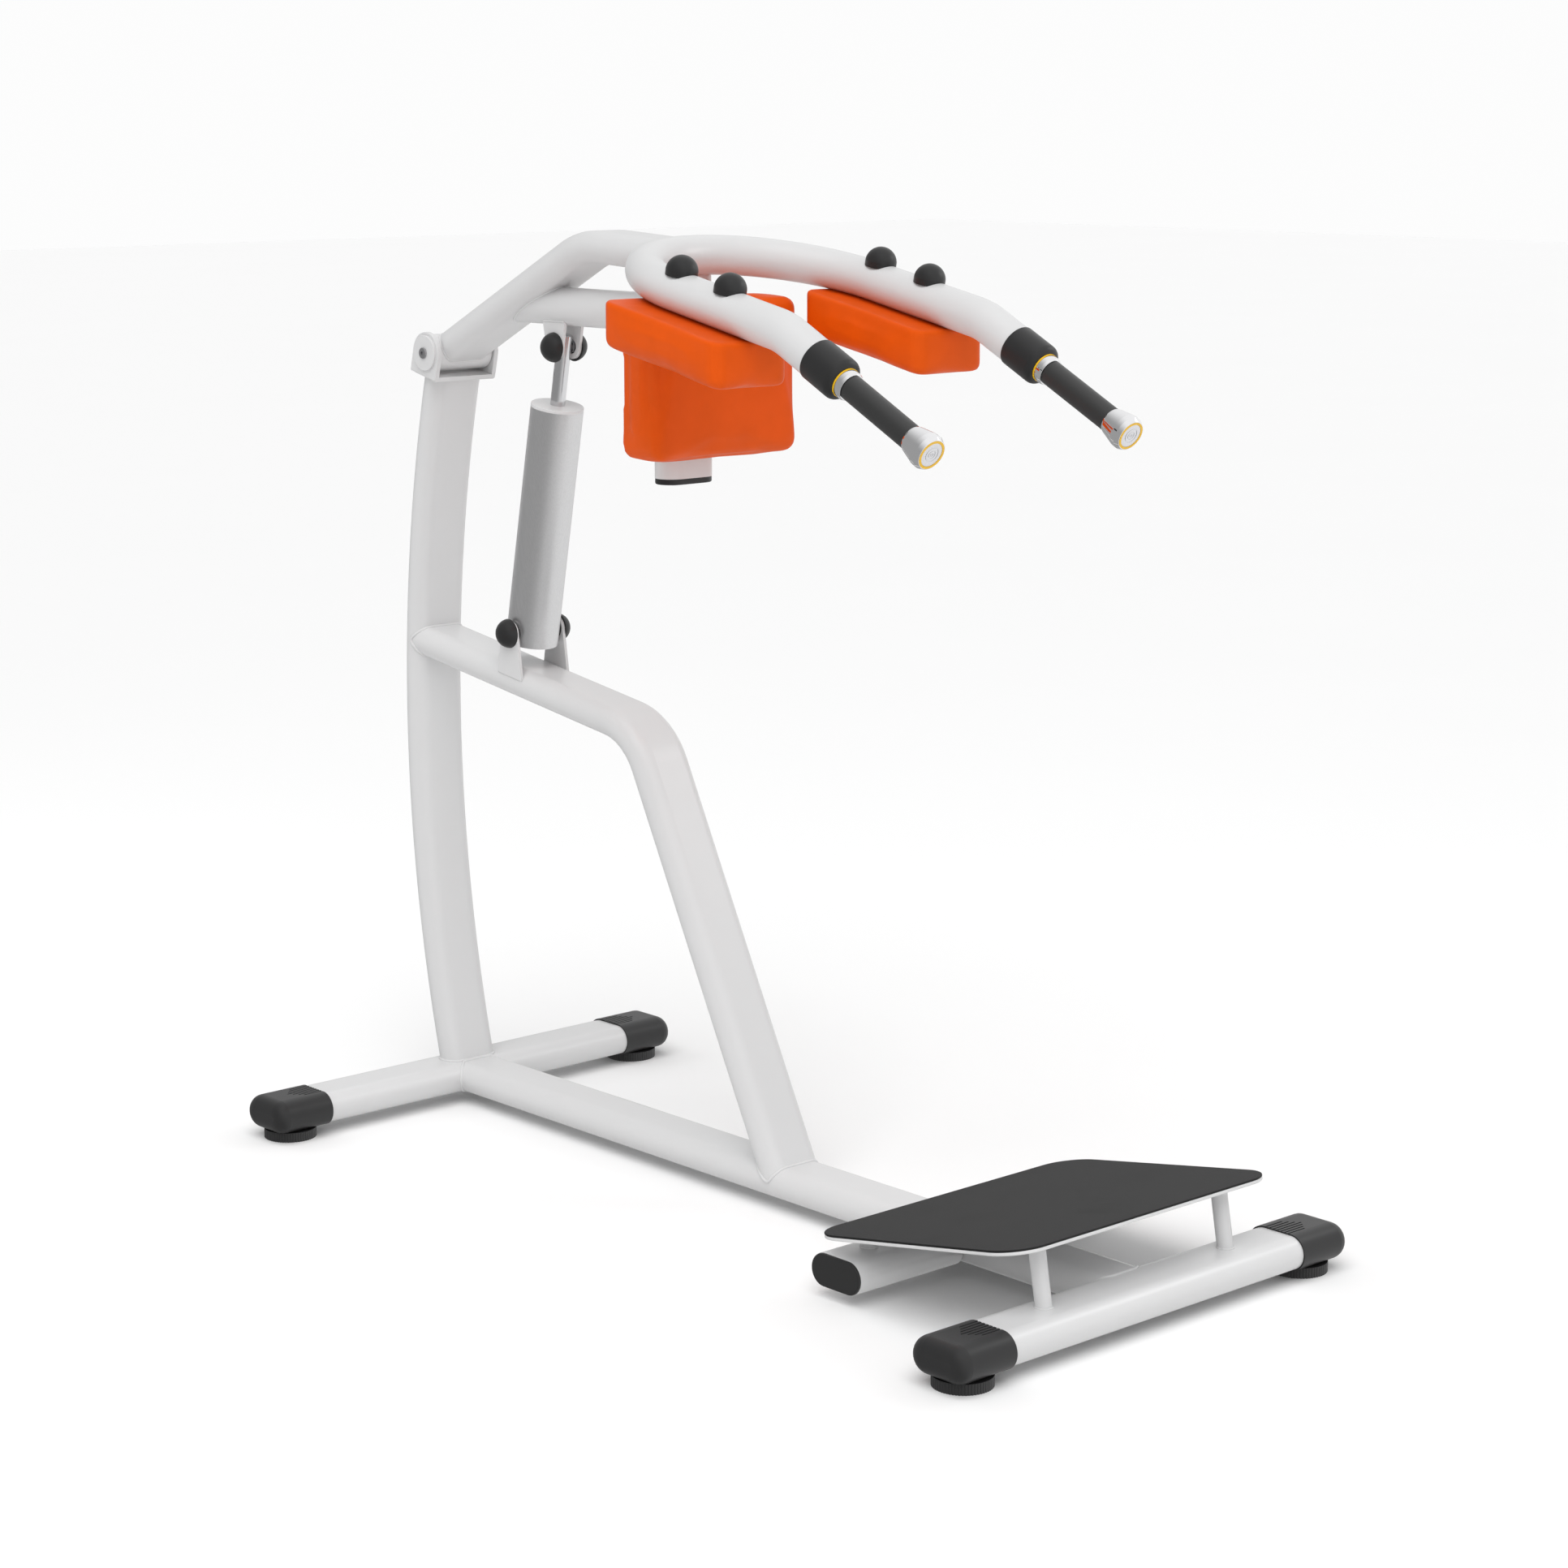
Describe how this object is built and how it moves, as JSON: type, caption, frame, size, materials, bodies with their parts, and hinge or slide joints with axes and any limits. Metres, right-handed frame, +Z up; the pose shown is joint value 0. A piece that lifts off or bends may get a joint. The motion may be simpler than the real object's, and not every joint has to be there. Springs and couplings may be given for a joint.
{
  "type": "hydraulic squat machine",
  "caption": "Free-standing squat machine: a hinged lever arm with padded shoulder yoke and back pad works against a damping cylinder above a sloped foot platform.",
  "frame": {"origin": "on the floor, in the middle of the length and width", "axes": "+Z up, -Y the front that the user faces, +X to the right across the machine seen from the front"},
  "size_m": [0.836, 1.6969, 1.4761],
  "materials": {
    "white_powder_coat": "gloss powder coat",
    "black_plastic": "moulded satin",
    "mat_rubber": "fine anti-slip texture",
    "zinc_steel": "zinc plated",
    "bare_steel": "turned",
    "bush_plastic": "moulded",
    "orange_upholstery": "smooth coated upholstery",
    "plywood": "plain",
    "yellow_plastic": "gloss",
    "chrome_trim": "polished",
    "grip_rubber": "satin",
    "turned_aluminium": "turned rings",
    "brushed_barrel": "brushed along its length",
    "white_gland": "satin",
    "polished_rod": "ground and polished",
    "seal_rubber": "plain",
    "foot_plastic": "knurled"
  },
  "bodies": {
    "base_frame": {"rear_crossbar": "white_powder_coat", "front_crossbar": "white_powder_coat", "mid_crossbar": "white_powder_coat", "main_beam": "white_powder_coat", "upright": "white_powder_coat", "brace_tube": "white_powder_coat", "hinge_fork": "white_powder_coat", "lower_ears": "white_powder_coat", "platform_posts": "white_powder_coat", "platform_plate": "white_powder_coat", "platform_mat": "mat_rubber", "mid_bar_plugs": "black_plastic", "foot_end_caps": "black_plastic", "foot_nuts": "zinc_steel", "hinge_shaft": "bare_steel", "hinge_covers": "white_powder_coat", "hinge_screws": "zinc_steel", "lower_pin": "bare_steel", "lower_pin_nuts": "zinc_steel", "lower_pin_domes": "black_plastic"},
    "lever_arm": {"pivot_tube": "white_powder_coat", "pivot_bushes": "bush_plastic", "arm_tube": "white_powder_coat", "back_pad_post": "white_powder_coat", "post_plug": "black_plastic", "link_tube": "white_powder_coat", "upper_ears": "white_powder_coat", "yoke_tube": "white_powder_coat", "yoke_domes": "black_plastic", "shoulder_pad_left": "orange_upholstery", "shoulder_pad_right": "orange_upholstery", "shoulder_pad_boards": "plywood", "shoulder_bolts": "zinc_steel", "back_pad": "orange_upholstery", "back_pad_board": "plywood", "back_pad_bolts": "zinc_steel", "handle_bulkheads": "bare_steel", "handle_bars": "bare_steel", "handle_ferrules": "black_plastic", "handle_rings": "yellow_plastic", "handle_collars": "chrome_trim", "hand_grips": "grip_rubber", "handle_end_caps": "chrome_trim", "handle_end_discs": "turned_aluminium"},
    "cylinder_barrel_body": {"cylinder_barrel": "brushed_barrel", "cylinder_foot": "bare_steel", "cylinder_bushes": "black_plastic", "cylinder_gland": "white_gland", "rod_seal": "seal_rubber"},
    "cylinder_rod_body": {"piston_rod": "polished_rod", "piston": "bare_steel", "piston_seal": "seal_rubber", "rod_spacers": "zinc_steel", "upper_pin": "bare_steel", "upper_pin_nuts": "zinc_steel", "upper_pin_domes": "black_plastic"},
    "foot_rear_left": {"levelling_foot_rear_left": "foot_plastic"},
    "foot_rear_right": {"levelling_foot_rear_right": "foot_plastic"},
    "foot_front_left": {"levelling_foot_front_left": "foot_plastic"},
    "foot_front_right": {"levelling_foot_front_right": "foot_plastic"}
  },
  "joints": [
    {"name": "lever_arm_hinge", "type": "hinge", "parent": "base_frame", "child": "lever_arm", "pos_m": [0, 0.74439, 1.26783], "axis": [-1, 0, 0], "range_deg": [-10, 16]},
    {"name": "cylinder_pivot", "type": "hinge", "parent": "base_frame", "child": "cylinder_barrel_body", "pos_m": [0, 0.549, 0.826], "axis": [-1, 0, 0], "range_deg": [-2.28, 3.35]},
    {"name": "rod_slide", "type": "slide", "parent": "cylinder_barrel_body", "child": "cylinder_rod_body", "axis": [0, -0.1884, 0.9821], "range_m": [-0.0491, 0.0774]},
    {"name": "foot_rear_left_turn", "type": "hinge", "parent": "base_frame", "child": "foot_rear_left", "pos_m": [-0.364, 0.749, 0], "axis": [0, 0, 1], "continuous": true},
    {"name": "foot_rear_right_turn", "type": "hinge", "parent": "base_frame", "child": "foot_rear_right", "pos_m": [0.364, 0.749, 0], "axis": [0, 0, 1], "continuous": true},
    {"name": "foot_front_left_turn", "type": "hinge", "parent": "base_frame", "child": "foot_front_left", "pos_m": [-0.346, -0.796, 0], "axis": [0, 0, 1], "continuous": true},
    {"name": "foot_front_right_turn", "type": "hinge", "parent": "base_frame", "child": "foot_front_right", "pos_m": [0.346, -0.796, 0], "axis": [0, 0, 1], "continuous": true}
  ],
  "couplings": [
    {"joint": "cylinder_pivot", "follows": "lever_arm_hinge", "ratio": 0.178},
    {"joint": "rod_slide", "follows": "lever_arm_hinge", "m_per_rad": 0.27}
  ]
}
